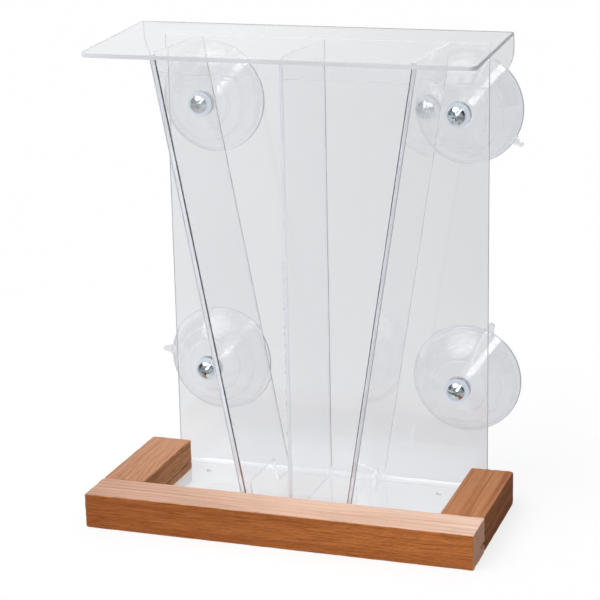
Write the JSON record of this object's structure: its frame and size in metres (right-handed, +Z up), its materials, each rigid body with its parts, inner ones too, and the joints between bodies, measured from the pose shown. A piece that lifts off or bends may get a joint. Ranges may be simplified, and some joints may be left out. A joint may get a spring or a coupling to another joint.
{
  "type": "window bird feeder",
  "caption": "Clear V-shaped seed hopper on an open wooden tray, with a lift-off roof and suction cups that hold it to a window pane.",
  "frame": {"origin": "middle of the front rail's underside, on the plane that all three rails stand on", "axes": "+X to the right seen from the front, +Y from the birds' side towards the window pane, +Z up"},
  "size_m": [0.3088, 0.1736, 0.3698],
  "materials": {
    "cedar": "bare cedar, planed, fine straight grain",
    "clear_acrylic": "clear polished sheet",
    "clear_vinyl": "clear soft vinyl, glossy",
    "chrome_steel": "polished plating"
  },
  "bodies": {
    "frame": {"back_panel": "clear_acrylic", "front_panel": "clear_acrylic", "left_side_panel": "clear_acrylic", "right_side_panel": "clear_acrylic", "center_divider": "clear_acrylic", "front_rail": "cedar", "left_rail": "cedar", "right_rail": "cedar"},
    "roof": {"roof": "clear_acrylic"},
    "upper_left_cup": {"upper_left_cup": "clear_vinyl", "upper_left_screw": "chrome_steel"},
    "upper_right_cup": {"upper_right_cup": "clear_vinyl", "upper_right_screw": "chrome_steel"},
    "lower_left_cup": {"lower_left_cup": "clear_vinyl", "lower_left_screw": "chrome_steel"},
    "lower_right_cup": {"lower_right_cup": "clear_vinyl", "lower_right_screw": "chrome_steel"}
  },
  "joints": [
    {"name": "roof_lift", "type": "slide", "parent": "frame", "child": "roof", "axis": [0, 0, 1], "range_m": [0, 0.06]},
    {"name": "upper_left_cup_spin", "type": "hinge", "parent": "frame", "child": "upper_left_cup", "pos_m": [-0.10496, 0.12235, 0.306], "axis": [0, 1, 0], "continuous": true},
    {"name": "upper_right_cup_spin", "type": "hinge", "parent": "frame", "child": "upper_right_cup", "pos_m": [0.10496, 0.12235, 0.306], "axis": [0, 1, 0], "continuous": true},
    {"name": "lower_left_cup_spin", "type": "hinge", "parent": "frame", "child": "lower_left_cup", "pos_m": [-0.10496, 0.12235, 0.0874], "axis": [0, 1, 0], "continuous": true},
    {"name": "lower_right_cup_spin", "type": "hinge", "parent": "frame", "child": "lower_right_cup", "pos_m": [0.10496, 0.12235, 0.0874], "axis": [0, 1, 0], "continuous": true}
  ]
}
